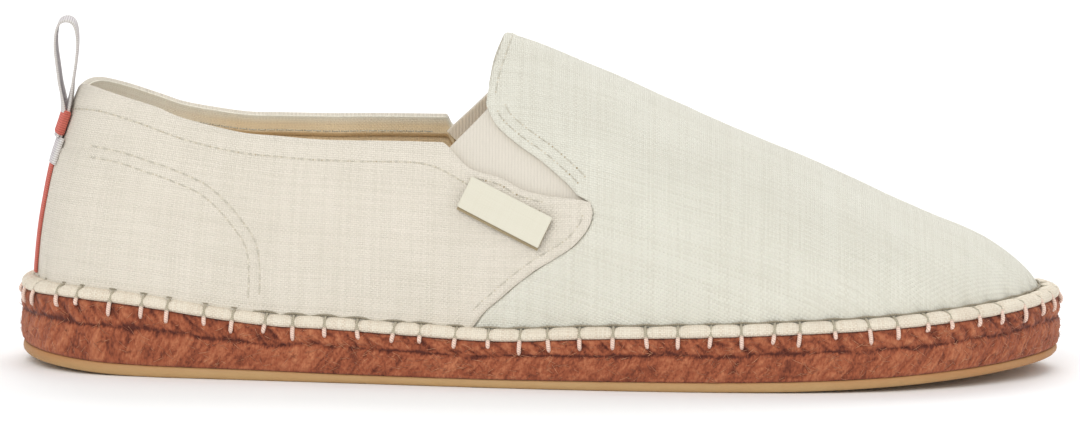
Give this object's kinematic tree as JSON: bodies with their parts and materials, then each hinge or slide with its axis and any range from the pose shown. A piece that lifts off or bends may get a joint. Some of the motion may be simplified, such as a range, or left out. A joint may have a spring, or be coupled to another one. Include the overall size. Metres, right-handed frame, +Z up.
{
  "type": "espadrille",
  "caption": "Slip-on canvas espadrille for the right foot: jute rope sole on thin rubber, elastic side gores, pull loop at the heel.",
  "frame": {"origin": "on the floor, under the middle of the shoe's length and width", "axes": "+X along the shoe towards the toe, -Y towards the outer side of the foot, +Z up"},
  "size_m": [0.2902, 0.0982, 0.0965],
  "materials": {
    "canvas": "matt cotton canvas",
    "elastic": "ribbed woven elastic",
    "jute": "dyed braided fibre",
    "rubber": "matt crepe rubber",
    "sock": "matt cloth on foam",
    "tape": "woven tape",
    "loop": "woven tape",
    "label": "folded woven ribbon"
  },
  "bodies": {
    "root": {"outsole": "rubber", "jute_sole": "jute", "insole": "sock", "upper": "canvas", "gore_outer": "elastic", "gore_inner": "elastic", "heel_tape": "tape", "pull_loop": "loop", "side_tab": "label"}
  },
  "joints": []
}
